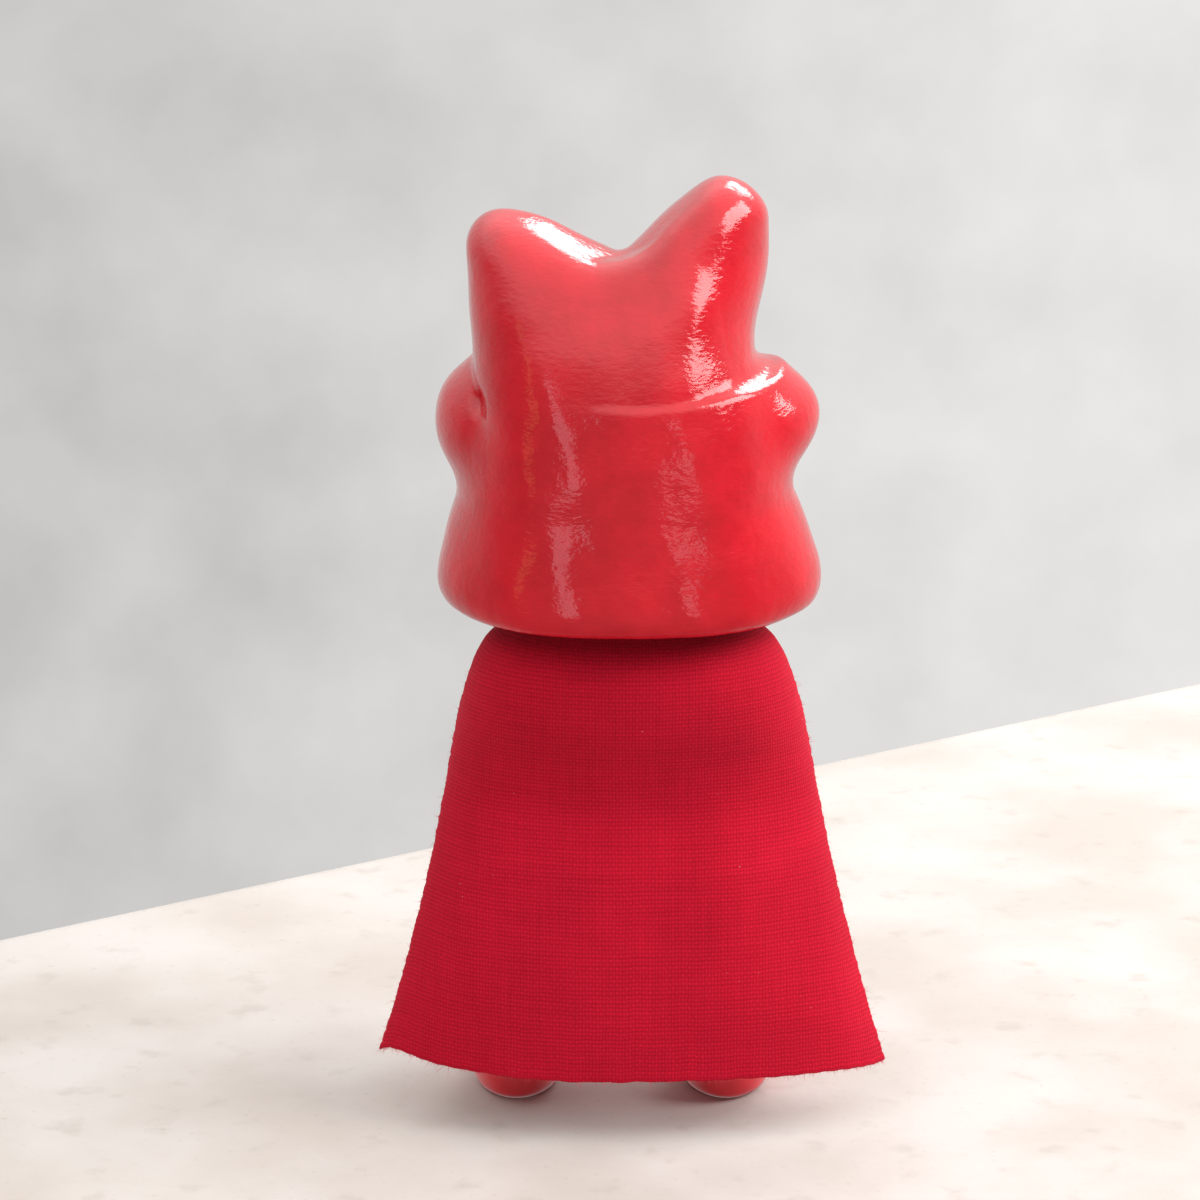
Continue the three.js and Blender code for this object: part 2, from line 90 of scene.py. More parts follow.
class Graph:
    """The nodes of one material, or of the world."""

    def __init__(self, tree):
        self.tree = tree

    def node(self, kind, settings=None, sockets=None, out=0):
        """One node: its settings, then a value or a link for each socket, by name or by number."""
        node = self.tree.nodes.new(kind)
        for name, value in (settings or {}).items():
            setattr(node, name, value)
        for name, value in (sockets or {}).items():
            self.feed(node.inputs[name], value)
        return Value(self, node.outputs[out])

    def feed(self, socket, value):
        if isinstance(value, Value):
            self.tree.links.new(value.socket, socket)
        else:
            socket.default_value = value

    def blend(self, share, first, second):
        """The colour first, turning into second as share goes from 0 to 1."""
        return self.node("ShaderNodeMix", {"data_type": "RGBA"}, {0: share, 6: first, 7: second},
                         out=2)

    def parts(self, vector):
        x = self.node("ShaderNodeSeparateXYZ", {}, {0: vector})
        return x, x.also("Y"), x.also("Z")

    def cloud(self, place, size, detail):
        """Soft noise from 0 to 1 whose lumps are about size metres across."""
        return self.node("ShaderNodeTexNoise", {}, {
            "Vector": place, "Scale": 1 / size, "Detail": detail})


def toward(azimuth, elevation, distance=1.0, centre=(0.0, 0.0, 0.06)):
    """The point at a bearing and height in degrees: 0 is the camera's side, 90 is its right."""
    a, e = math.radians(azimuth), math.radians(elevation)
    way = Vector((math.sin(a) * math.cos(e), -math.cos(a) * math.cos(e), math.sin(e)))
    return Vector(centre) + way * distance


def softbox(name, azimuth, elevation, distance, width, height, watts, colour=(1, 1, 1)):
    lamp = bpy.data.lights.new(name, "AREA")
    lamp.shape, lamp.size, lamp.size_y = "RECTANGLE", width, height
    lamp.energy, lamp.color = watts, colour
    holder = bpy.data.objects.new(name, lamp)
    holder.location = toward(azimuth, elevation, distance)
    aim = toward(azimuth, elevation, -1.0, (0, 0, 0))
    holder.rotation_euler = aim.to_track_quat("-Z", "Y").to_euler()
    holder.visible_camera = False
    bpy.context.scene.collection.objects.link(holder)


# The camera stands 0.44 m off on a long lens and looks 13.8 degrees down.
camera_lens = bpy.data.cameras.new("camera")
camera_lens.lens, camera_lens.sensor_width = 110.4, 36.0
camera_lens.clip_start, camera_lens.clip_end = 0.05, 20.0
camera = bpy.data.objects.new("camera", camera_lens)
camera.location = (-0.0036, -0.440, 0.17107)
camera.rotation_euler = (math.radians(90 - 13.8), 0, 0)
bpy.context.scene.collection.objects.link(camera)
bpy.context.scene.camera = camera
bpy.context.scene.view_settings.view_transform = "Standard"

softbox("sky_right", 88, 34, 0.95, 0.90, 0.52, 11.0, (1.0, 0.985, 0.97))
softbox("sky_behind", 156, 33, 1.00, 0.44, 0.30, 2.6, (1.0, 0.99, 0.98))
softbox("doorway_left", -29, 1, 0.80, 0.17, 0.36, 0.34, (1.0, 0.90, 0.97))
softbox("doorway_right", 27, -1, 0.85, 0.15, 0.22, 0.16, (1.0, 0.94, 0.97))
softbox("warm_left", -58, 9, 0.80, 0.08, 0.34, 0.13, (1.0, 0.50, 0.16))

world = bpy.data.worlds.new("daylight")
world.use_nodes = True
bpy.context.scene.world = world
air = Graph(world.node_tree)
gaze = air.node("ShaderNodeTexCoord", out="Generated")
across, depth, height = air.parts(gaze)

# What the figurine mirrors is sky, wall and room; past the ledge the camera sees pale plaster.
sky = height.rise(0.10, 0.74, 0.20, 1.65)
wall = depth.rise(-0.3, 0.7, 0.0, 0.46) * height.rise(0.15, 0.5, 1.0, 0.0)
room = depth.rise(-1.0, -0.3, 0.16, 0.0) * height.rise(0.15, 0.5, 1.0, 0.0)
lit = sky + wall + room
plaster = air.cloud(gaze, 0.045, 6)
# Painted light: the plaster the camera sees is painted brighter from left to right, as if lit by the
# bright sky on the right.
seen = across.rise(-0.2, 0.2, 0.58, 0.81) + (plaster - 0.5) * 0.26
to_camera = air.node("ShaderNodeLightPath", out="Is Camera Ray")
strength = lit + (seen - lit) * to_camera
backdrop = world.node_tree.nodes["Background"]
backdrop.inputs["Color"].default_value = (1.0, 0.985, 0.965, 1)
air.feed(backdrop.inputs["Strength"], strength)


def skin(name, rings, closed=True):
    """A mesh over rows of points, each row a ring joined to the next; both ends are closed by fans
    to their middle. The faces are turned over if the enclosed volume says they point inwards."""
    rings = np.asarray(rings, float) * MM
    rows, around = rings.shape[:2]
    at = np.arange(rows * around).reshape(rows, around)
    after = np.roll(at, -1, axis=1)
    quads = np.stack([at[:-1], after[:-1], after[1:], at[1:]], -1).reshape(-1, 4)
    points = rings.reshape(-1, 3)
    fans = np.zeros((0, 3), int)
    if closed:
        first, last = len(points), len(points) + 1
        points = np.vstack([points, rings[0].mean(0), rings[-1].mean(0)])
        fans = np.vstack([
            np.stack([np.full(around, first), after[0], at[0]], -1),
            np.stack([np.full(around, last), at[-1], after[-1]], -1)])
    corner = points[quads]
    volume = np.einsum("ij,ij->i", corner[:, 0], np.cross(corner[:, 1], corner[:, 2])).sum()
    volume += np.einsum("ij,ij->i", corner[:, 0], np.cross(corner[:, 2], corner[:, 3])).sum()
    if volume < 0:
        quads, fans = quads[:, ::-1], fans[:, ::-1]
    mesh = bpy.data.meshes.new(name)
    mesh.from_pydata(points.tolist(), [], quads.tolist() + fans.tolist())
    mesh.validate()
    piece = bpy.data.objects.new(name, mesh)
    bpy.context.scene.collection.objects.link(piece)
    return piece


def set_in_place(piece, body, nodes, material, crease=40):
    """Smooth shading with sharp edges past the crease angle, then the body, nodes and finish."""
    mesh = piece.data
    mesh.shade_smooth()
    mesh.set_sharp_from_angle(angle=math.radians(crease))
    mesh.materials.clear()
    mesh.materials.append(material)
    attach(piece, body)
    if nodes:
        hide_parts(*nodes)
    return piece


def ledge_stone():
    """Pale cream stone with faint clouding and a few fine grains."""
    stone = bpy.data.materials.new("ledge_stone")
    stone.use_nodes = True
    graph = Graph(stone.node_tree)
    shader = stone.node_tree.nodes["Principled BSDF"]
    place = graph.node("ShaderNodeTexCoord", out="Object")
    broad = graph.cloud(place, 0.030, 4)
    grain = graph.cloud(place, 0.0012, 3)
    colour = graph.blend(broad.rise(0.3, 0.7), (0.43, 0.39, 0.36, 1), (0.50, 0.475, 0.455, 1))
    marks = graph.cloud(place, 0.006, 6).rise(0.56, 0.74, 0, 0.35) + grain.rise(0.60, 0.8, 0, 0.4)
    graph.feed(shader.inputs["Base Color"], graph.blend(marks, colour, (0.33, 0.29, 0.26, 1)))
    shader.inputs["Roughness"].default_value = 0.85
    bump = graph.node("ShaderNodeBump", {}, {
        "Height": (grain + broad * 2) * 0.00006, "Distance": 1.0, "Strength": 0.6})
    graph.feed(shader.inputs["Normal"], bump)
    return stone


ledge_mesh = bpy.data.meshes.new("ledge")
ledge_outline = [(-1.2, -1.6), (1.2, -1.6), (1.2, 0.996), (-1.2, -0.746)]
ledge_mesh.from_pydata(
    [(x, y, z) for z in (-0.05, 0.0) for x, y in ledge_outline], [],
    [(3, 2, 1, 0), (4, 5, 6, 7), (0, 1, 5, 4), (1, 2, 6, 5), (2, 3, 7, 6), (3, 0, 4, 7)])
ledge_mesh.materials.append(ledge_stone())
ledge = bpy.data.objects.new("ledge", ledge_mesh)
edge = ledge.modifiers.new("worn_edge", "BEVEL")
edge.width, edge.segments = 0.006, 4
ledge.visible_glossy = False        # the enamel mirrors the room alone, so its shadows stay deep
bpy.context.scene.collection.objects.link(ledge)


# ---- Legs ---------------------------------------------------------------------------------------
# Two stubby legs cast in one piece with their flat-soled feet, sprayed a duller red than the head.
# Each turns on a smooth nylon peg that stands in the hip.
def through(points, at):
    """A smooth curve through (position, value) points, read at many places: between two points it
    is the cubic that has their values and their central-difference slopes."""
    position, value = np.array(points, float).T
    slope = np.concatenate([
        [(value[1] - value[0]) / (position[1] - position[0])],
        (value[2:] - value[:-2]) / (position[2:] - position[:-2]),
        [(value[-1] - value[-2]) / (position[-1] - position[-2])]])
    i = np.clip(np.searchsorted(position, at) - 1, 0, len(position) - 2)
    gap = position[i + 1] - position[i]
    t = np.clip((at - position[i]) / gap, 0, 1)
    ease = t * t * (3 - 2 * t)
    return (value[i] * (1 - ease) + value[i + 1] * ease
            + gap * (slope[i] * t * (1 - t) ** 2 - slope[i + 1] * t * t * (1 - t)))


class Finish(Graph):
    """A procedural material: constants go onto the shader's own sockets, patterns are fed to it."""

    def __init__(self, name, constants):
        self.material = bpy.data.materials.new(name)
        self.material.use_nodes = True
        super().__init__(self.material.node_tree)
        self.shader = self.tree.nodes["Principled BSDF"]
        for socket, value in constants.items():
            self.shader.inputs[socket].default_value = value
        self.place = self.node("ShaderNodeTexCoord", out="Object")

    def show(self, **patterns):
        for socket, value in patterns.items():
            self.feed(self.shader.inputs[socket.replace("_", " ")], value)

    def relief(self, metres):
        """Turns a height in metres into the surface's normal."""
        self.show(Normal=self.node("ShaderNodeBump", {}, {
            "Height": metres, "Distance": 1.0, "Strength": 1.0}))

    def specks(self, spacing, size, share):
        """Round specks of a size, one in some of the cells of a random lattice."""
        cell = self.node("ShaderNodeTexVoronoi", {}, {"Vector": self.place, "Scale": 1 / spacing})
        luck = self.node("ShaderNodeSeparateColor", {}, {0: cell.also("Color")})
        chosen = self.node("ShaderNodeMath", {"operation": "LESS_THAN"}, {0: luck, 1: share})
        return (cell * spacing).rise(size * 0.4, size, 1.0, 0.0) * chosen


def sprayed_paint(name, red, pooled, roughness, peel, gloss):
    """Sprayed enamel: colour a little deeper where it pooled, fine wrinkles half a millimetre apart
    whose height is peel in metres, a broader swell, and dust specks caught in the coat."""
    paint = Finish(name, {"IOR": 1.5, "Specular IOR Level": gloss})
    pool = paint.cloud(paint.place, 9 * MM, 3)
    mottle = paint.cloud(paint.place, 1.6 * MM, 2)
    dust_specks = paint.specks(5.5 * MM, 0.13 * MM, 0.35)
    colour = paint.blend((pool * 0.75 + mottle * 0.25).rise(0.36, 0.62), pooled, red)
    colour = paint.blend(dust_specks * 0.7, colour, (0.80, 0.36, 0.34, 1))
    paint.show(Base_Color=colour, Roughness=roughness + (mottle - 0.5) * 0.08 + dust_specks * 0.3)
    drawn = paint.node("ShaderNodeMapping", {}, {"Vector": paint.place, "Scale": (0.6, 0.6, 1.2)})
    waves = paint.cloud(drawn, 0.55 * MM, 2)
    swell = paint.cloud(paint.place, 2.6 * MM, 1)
    paint.relief(waves * peel + swell * peel * 1.5 + dust_specks * 22e-6)
    return paint.material


limb_paint = sprayed_paint("limb_paint", (0.70, 0.040, 0.052, 1), (0.60, 0.032, 0.042, 1), 0.34,
                           7e-6, 0.30)

HIP_X, FOOT_X = 8.3, 13.2
STANCE = -0.9                       # both feet stand a little to the left of the hips
LEG_TOP, LEG_SOCKET_FLOOR, PIN_SOCKET_R = 15.7, 11.8, 2.25
LEG_ROWS = [  # height, share of the way from hip to foot, middle y, half width, half length
    (0, 1, 2.4, 4.7, 8.2), (0.5, 1, 2.4, 5.3, 9.1), (1.4, 1, 2.4, 5.6, 9.6),
    (3.2, 1, 2.4, 5.8, 9.8), (5.2, 0.97, 2.1, 5.6, 9.0), (7.0, 0.85, 1.3, 5.3, 7.4),
    (9.0, 0.6, 0.3, 5.1, 5.8), (11.5, 0.25, -0.1, 5.0, 5.1), (LEG_TOP, 0, 0, 5.1, 5.1)]


def ovals(heights, cx, cy, rx, ry, around):
    """Level ovals stacked up, a row at each height: x = cx + rx cos turn, y = cy + ry sin turn."""
    turn = np.linspace(0, 2 * np.pi, around, endpoint=False)
    shape = (len(heights), around)
    return np.stack([
        np.broadcast_to(cx[:, None] + rx[:, None] * np.cos(turn), shape),
        np.broadcast_to(cy[:, None] + ry[:, None] * np.sin(turn), shape),
        np.broadcast_to(np.asarray(heights, float)[:, None], shape)], -1)


def leg_rings(side):
    """The leg's rows eased from the sole up, then down into the socket for the hip's peg."""
    z = LEG_TOP * np.linspace(0, 1, 46) ** 1.5
    columns = [through([(row[0], row[k]) for row in LEG_ROWS], z) for k in (1, 2, 3, 4)]
    z = np.concatenate([z, [LEG_TOP, LEG_TOP, LEG_SOCKET_FLOOR]])
    share, cy, rx, ry = [np.concatenate([c, np.repeat(c[-1:], 3)]) for c in columns]
    rx[-2:], ry[-2:] = PIN_SOCKET_R, PIN_SOCKET_R
    hip, foot = side * HIP_X, STANCE + side * FOOT_X
    return ovals(z, hip + (foot - hip) * share, cy, rx, ry, 64)


def nylon():
    """Milky moulded nylon: faint flow lines along the pull of the mould and a satin skin."""
    made = Finish("peg_nylon", {"Specular IOR Level": 0.45, "Subsurface Weight": 0.08})
    flow = made.node("ShaderNodeMapping", {}, {"Vector": made.place, "Scale": (1, 1, 0.15)})
    lines, bloom = made.cloud(flow, 0.5 * MM, 3), made.cloud(made.place, 2.4 * MM, 2)
    made.show(Base_Color=made.blend(bloom.rise(0.3, 0.7), (0.60, 0.55, 0.47, 1),
                                    (0.72, 0.68, 0.60, 1)),
              Roughness=lines.rise(0.3, 0.7, 0.38, 0.52))
    made.relief(lines * 8e-6 + bloom * 6e-6)
    return made.material


def dress(node, material):
    """A CAD node keeps its mesh and takes a finish in every slot."""
    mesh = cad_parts[node].data
    mesh.materials.clear()
    mesh.materials.append(material)


peg_nylon = nylon()
for side, word in ((-1, "left"), (1, "right")):
    set_in_place(skin(f"{word}_leg_cast", leg_rings(side)), f"{word}_leg", [f"{word}_leg"],
                 limb_paint)
    dress(f"{word}_hip_peg", peg_nylon)


# ---- Torso --------------------------------------------------------------------------------------
# One pear-shaped casting with a cylindrical neck, sprayed in the limbs' duller red. Round bosses at
# the shoulders carry the arms, and the neck has a bored socket for the peg that holds the head.
TORSO_ROWS = [  # height, half width, half depth
    (16, 13.6, 11.2), (17.6, 15.2, 12.6), (20.5, 16.3, 13.7), (25, 16.6, 14.1), (30, 16.0, 13.4),
    (36, 14.2, 12.0), (43, 11.9, 10.6), (50, 10.7, 9.8), (55, 10.2, 9.3), (58, 9.2, 8.7),
    (60, 8.2, 8.1), (61.5, 8.0, 8.0), (66.4, 8.0, 8.0)]
TORSO_BASE, NECK_TOP, NECK_R = 16.0, 66.4, 8.0
NECK_SOCKET_FLOOR, NECK_SOCKET_R = 57.7, 4.25
SHOULDER_Z, SHOULDER_SEAT, BOSS_R = 51.0, 12.1, 3.2


def torso_rings():
    """The torso's rows eased from its flat base up to the neck, whose chamfered rim turns down into
    the socket for the head's peg."""
    z = np.concatenate([[TORSO_BASE] * 3, TORSO_BASE + 45.5 * np.linspace(0, 1, 70) ** 1.15,
                        [63, NECK_TOP - 0.5, NECK_TOP, NECK_TOP, NECK_SOCKET_FLOOR]])
    rx, ry = (through([(row[0], row[k]) for row in TORSO_ROWS], z) for k in (1, 2))
    rx[:2], ry[:2] = (4.0, 9.0), (3.5, 7.5)         # the flat base, closed in two steps
    for radius in (rx, ry):
        radius[-4:] = NECK_R, NECK_R - 0.3, NECK_SOCKET_R, NECK_SOCKET_R
    nil = np.zeros(len(z))
    return ovals(z, nil, nil, rx, ry, 96)


def boss_rings(side):
    """A round stub along X: a radius for each distance out, and an end face with the peg's hole."""
    out = np.array([6.0, 11.5, 11.95, SHOULDER_SEAT, SHOULDER_SEAT, 9.0])
    radius = np.array([BOSS_R, BOSS_R, BOSS_R - 0.1, BOSS_R - 0.35, PIN_SOCKET_R, PIN_SOCKET_R])
    turn = np.linspace(0, 2 * np.pi, 40, endpoint=False)
    return np.stack([
        np.broadcast_to(side * out[:, None], (6, 40)),
        radius[:, None] * np.cos(turn), SHOULDER_Z + radius[:, None] * np.sin(turn)], -1)


def joined(name, parts):
    """Several skins as one mesh."""
    whole = bpy.data.meshes.new(name)
    points, faces = [], []
    for part in parts:
        start = len(points)
        points += [tuple(v.co) for v in part.data.vertices]
        faces += [[start + i for i in face.vertices] for face in part.data.polygons]
        bpy.data.objects.remove(part)
    whole.from_pydata(points, [], faces)
    piece = bpy.data.objects.new(name, whole)
    bpy.context.scene.collection.objects.link(piece)
    return piece


torso = joined("torso_cast", [skin("body", torso_rings()), skin("boss_l", boss_rings(-1)),
                              skin("boss_r", boss_rings(1))])
set_in_place(torso, "torso", ["torso"], limb_paint)


# ---- Arms ---------------------------------------------------------------------------------------
# Two cast arms that hang from flat shoulder faces and end in mitten hands, in the limbs' paint.
# Each swings on a nylon peg pressed into the shoulder's boss.
ARM_LINE = [(0, 15.4, 0, 51), (0.33, 16.6, 0.3, 44),                   # share, x, y, z
            (0.66, 18.4, 1.3, 37.5), (1, 20.4, 3.0, 31.5)]
ARM_RADIUS = [(0, 4.4), (0.35, 3.6), (0.70, 2.9), (0.80, 3.0), (1, 3.4)]
ARM_GAP = 0.3                       # between the arm's flat face and the boss


def arm_rings(side):
    """Round sections along the arm's centre line from shoulder to hand, closed by half-round ends;
    the inner side of the shoulder is flattened to the face that meets the boss."""
    along = np.linspace(0, 1, 44)
    centre = np.stack([through([(p[0], p[k]) for p in ARM_LINE], along) for k in (1, 2, 3)], -1)
    centre[:, 0] *= side
    radius = through(ARM_RADIUS, along)
    down = np.gradient(centre, axis=0)
    down /= np.linalg.norm(down, axis=1, keepdims=True)
    rise = np.radians(np.linspace(86, 6, 10))
    ends = [(0, -1, rise), (-1, 1, rise[::-1])]
    centres, radii, downs = [centre], [radius], [down]
    for end, way, angles in ends:
        cap = centre[end] + way * radius[end] * np.sin(angles)[:, None] * down[end]
        pack = (cap, radius[end] * np.cos(angles), np.repeat(down[end][None], len(angles), 0))
        for store, more in zip((centres, radii, downs), pack):
            store.insert(0 if end == 0 else len(store), more)
    centre, radius, down = np.vstack(centres), np.concatenate(radii), np.vstack(downs)
    out = np.cross([0, 1, 0], down)
    out /= np.linalg.norm(out, axis=1, keepdims=True)
    fore = np.cross(down, out)
    turn = np.linspace(0, 2 * np.pi, 48, endpoint=False)[:, None]
    points = centre[:, None] + radius[:, None, None] * (
        np.cos(turn) * out[:, None] + np.sin(turn) * fore[:, None])
    points[..., 0] = side * np.maximum(side * points[..., 0], SHOULDER_SEAT + ARM_GAP)
    return points


for side, word in ((-1, "left"), (1, "right")):
    set_in_place(skin(f"{word}_arm_cast", arm_rings(side)), f"{word}_arm", [f"{word}_arm"],
                 limb_paint)
    dress(f"{word}_shoulder_peg", peg_nylon)


# ---- Neck peg and washer ------------------------------------------------------------------------
# A mushroom-headed nylon peg stands in the neck and traps the head's plate; a felt washer between
# neck and plate gives the head a soft, even drag as it turns.
def pressed_felt():
    """Pressed wool felt: tangled fine fibres over soft lumps, with a dull bloom."""
    felt = Finish("washer_felt", {"Roughness": 0.95, "Sheen Weight": 0.5, "Sheen Roughness": 0.5,
                                  "Specular IOR Level": 0.1})
    tangle = felt.node("ShaderNodeTexNoise", {}, {
        "Vector": felt.place, "Scale": 9000.0, "Detail": 4.0, "Distortion": 1.8})
    lumps = felt.cloud(felt.place, 0.8 * MM, 3)
    felt.show(Base_Color=felt.blend((tangle * 0.6 + lumps * 0.4).rise(0.35, 0.65),
                                    (0.05, 0.012, 0.012, 1), (0.16, 0.045, 0.042, 1)))
    felt.relief(tangle * 60e-6 + lumps * 120e-6)
    return felt.material


dress("neck_peg", peg_nylon)
dress("neck_washer", pressed_felt())


# ---- Cape ---------------------------------------------------------------------------------------
# A single piece of crimson plain-weave cotton, cut as a trapezoid with raw edges, gathered at the
# neck and hung over the shoulders down the back. The cut sides and hem have begun to fray.
CAPE_TOP, HEM_Z, CLOTH_T = 62.2, 7.0, 0.36
WARP_GAP, WEFT_GAP = 0.40 * MM, 0.50 * MM
CAPE_HALF_WIDTH = [(7, 31.2), (15, 28.8), (24, 26.4), (32, 24.5), (40, 22.9), (45, 22.0),
                   (50, 21.0), (55, 19.6), (58, 18.3), (60, 16.6), (61.4, 13.2), (62.2, 10.3)]
CAPE_BACK = [(7, -20.4), (15, -20.0), (24, -18.4), (32, -16.6), (36, -15.0), (40, -13.9),
             (45, -14.6), (50, -16.5), (55, -17.4), (58, -16.8), (60, -15.2), (61.4, -12.7),
             (62.2, -10.3)]
CAPE_HOOK = [(7, 10.0), (24, 10.6), (40, 11.3), (50, 13.2), (58, 15.0), (62.2, 15.4)]
CAPE_TURN = [(7, 76), (24, 80), (40, 85), (50, 90), (58, 100), (62.2, 120)]
CAPE_HEM = [(-1, 1.35), (-0.93, 1.9), (-0.8, 2.15), (-0.6, 1.5), (-0.35, 0.95), (0, 0.75),
            (0.35, 0.75), (0.6, 0.55), (0.85, 0.1), (1, -0.25)]       # how far up the cut strays


def cape_surface(u, z):
    """The hung cloth in millimetres: at each height an arc round the back, u running from edge to
    edge as -1 to 1, x = half width times sin(u half-turn), y = back + hook (1 - cos(u half-turn)),
    plus shallow folds that fan out from the neck and a slightly uneven cut along sides and hem."""
    half = np.radians(through(CAPE_TURN, z))
    x = through(CAPE_HALF_WIDTH, z) * np.sin(u * half) / np.sin(np.minimum(half, np.pi / 2))
    y = through(CAPE_BACK, z) + through(CAPE_HOOK, z) * (1 - np.cos(u * half)) / (1 - np.cos(half))
    drop = (CAPE_TOP - z) / (CAPE_TOP - HEM_Z)
    x = x + 0.4 * u * u * np.sqrt(drop)
    folds = (0.42 * np.sin(2.1 * np.pi * u + 0.9)
             + 0.22 * np.sin(4.3 * np.pi * u - 0.6 + 1.1 * drop)
             + 0.16 * np.sin(7.1 * u + 5.0 * drop))
    y = y + folds * drop * np.exp(-((drop - 0.62) / 0.42) ** 2)
    frayed = np.abs(u) ** 26 * np.sign(u)
    x = x + frayed * (0.05 * np.sin(z * 2.3 + 3 * np.sin(z * 0.7)) + 0.035 * np.sin(z * 7.7))
    hem = through(CAPE_HEM, u) + (0.05 * np.sin(31 * u + 4 * np.sin(5 * u)) + 0.04 * np.sin(83 * u))
    z = z + hem * drop ** 3
    return np.stack(np.broadcast_arrays(x, y, z), -1)


def plain_weave():
    """Plain weave of cotton threads at the two gaps. With A and B the sines across and along
    the cloth, whose signs change from thread to thread, a warp thread's height is |A| + AB, sunk by
    a fifth, and a weft thread's is |B| - AB; the cloth is the greater. Threads vary in tone, and the
    colour is painted darker where the weave is low, as painted shade between the threads."""
    cloth = Finish("cape_cotton", {"Sheen Weight": 0.16, "Sheen Roughness": 0.4,
                                   "Sheen Tint": (1.0, 0.30, 0.40, 1), "Specular IOR Level": 0.08})
    lay = cloth.node("ShaderNodeUVMap", {"uv_map": "cloth"})
    across, along, _ = cloth.parts(lay)
    drift = cloth.cloud(lay, 4.5 * MM, 2) * 0.00035
    warp = ((across + drift) * (math.pi / WARP_GAP)).sine()
    weft = ((along + drift * 0.8) * (math.pi / WEFT_GAP)).sine()
    both = warp * weft
    height = ((abs(warp) + both) * 0.8).above(abs(weft) - both) * 0.5

    def streaks(stretch):
        squeezed = cloth.node("ShaderNodeMapping", {}, {"Vector": lay, "Scale": stretch})
        return cloth.cloud(squeezed, 0.45 * MM, 1)

    threads = streaks((1, 0.05, 1)) * 0.45 + streaks((0.05, 1, 1)) * 0.55
    fluff = cloth.cloud(lay, 0.12 * MM, 2)
    patch = cloth.cloud(lay, 11 * MM, 2)
    # Painted shade: the weave's height darkens the colour where threads dip under each other;
    # threads, fluff and patch are the cloth's own tone.
    shade = height * 0.26 + threads * 0.22 + fluff * 0.36 + patch * 0.16
    colour = cloth.blend(shade.rise(0.24, 0.78), (0.27, 0.0022, 0.0120, 1),
                         (0.58, 0.0075, 0.0300, 1))
    lint = cloth.specks(7 * MM, 0.16 * MM, 0.10)
    lint = lint.above(cloth.specks(1.3 * MM, 0.09 * MM, 0.4) * patch.rise(0.52, 0.64))
    colour = cloth.blend(lint * 0.55, colour, (0.85, 0.45, 0.48, 1))
    cloth.show(Base_Color=colour, Roughness=0.80 + fluff * 0.15)
    cloth.relief((height * (0.55 + threads * 0.5) + fluff * 0.5) * 0.00007)
    return cloth.material


cape_cotton = plain_weave()


def cloth_skin(name, points, flat_u, flat_v, thickness):
    """An open sheet from a grid of points, with the flat cloth's own metres as its UV map, given
    its thickness by a Solidify modifier about its middle."""
    rows, columns = points.shape[:2]
    at = np.arange(rows * columns).reshape(rows, columns)
    quads = np.stack([at[:-1, :-1], at[:-1, 1:], at[1:, 1:], at[1:, :-1]], -1).reshape(-1, 4)
    mesh = bpy.data.meshes.new(name)
    mesh.from_pydata((points.reshape(-1, 3) * MM).tolist(), [], quads.tolist())
    layer = mesh.uv_layers.new(name="cloth")
    flat = np.stack([flat_u.ravel(), flat_v.ravel()], -1)[quads.ravel()] * MM
    layer.data.foreach_set("uv", flat.astype(np.float32).ravel())
    piece = bpy.data.objects.new(name, mesh)
    bpy.context.scene.collection.objects.link(piece)
    wall = piece.modifiers.new("cloth_thickness", "SOLIDIFY")
    wall.thickness, wall.offset = thickness * MM, 0.0
    return piece


def arc_length(points, axis):
    """Distance run along a grid of points, in its own units."""
    steps = np.linalg.norm(np.diff(points, axis=axis), axis=-1)
    start = np.zeros_like(np.take(steps, [0], axis))
    return np.concatenate([start, np.cumsum(steps, axis)], axis)


cape_u = np.linspace(-1, 1, 181)
cape_z = np.concatenate([np.linspace(CAPE_TOP, 57, 26)[:-1], np.linspace(57, HEM_Z, 150)])
cape_points = cape_surface(cape_u[None, :], cape_z[:, None])
cape_flat_u = arc_length(cape_points, 1)
cape_flat_u -= cape_flat_u[:, 90:91]
cape_flat_v = np.repeat(arc_length(cape_points[:, 90:91], 0), len(cape_u), 1)
cape = set_in_place(cloth_skin("cape_cloth", cape_points, cape_flat_u, cape_flat_v, CLOTH_T),
                    "torso", ["cape"], cape_cotton, 60)


WHISKER_R = 0.035


def fray(name, roots, ways, lengths, seed):
    """Loose thread ends as thin three-sided whiskers: each runs from its root along its way,
    curling by a random side-step that grows with the square of the distance, and tapers."""
    random = np.random.default_rng(seed)
    count, rings = len(roots), 4
    t = np.linspace(0, 1, rings)[None, :, None]
    curl = random.normal(0, 0.34, (count, 1, 3)) * lengths[:, None, None]
    line = roots[:, None] + ways[:, None] * lengths[:, None, None] * t + curl * t ** 2
    turn = np.array([0, 2.1, 4.2])
    side = np.cross(ways, random.normal(0, 1, (count, 3)))
    side /= np.linalg.norm(side, axis=1, keepdims=True)
    other = np.cross(ways, side)
    ring = (np.cos(turn)[None, None, :, None] * side[:, None, None]
            + np.sin(turn)[None, None, :, None] * other[:, None, None])
    thin = WHISKER_R * (1 - 0.85 * t[..., None])
    points = line[:, :, None] + ring * thin
    at = np.arange(count * rings * 3).reshape(count, rings, 3)
    after = np.roll(at, -1, axis=2)
    quads = np.stack([at[:, :-1], after[:, :-1], after[:, 1:], at[:, 1:]], -1).reshape(-1, 4)
    tips = np.concatenate([at[:, 0, ::-1], at[:, -1]])
    mesh = bpy.data.meshes.new(name)
    mesh.from_pydata((points.reshape(-1, 3) * MM).tolist(), [], quads.tolist() + tips.tolist())
    piece = bpy.data.objects.new(name, mesh)
    bpy.context.scene.collection.objects.link(piece)
    return piece


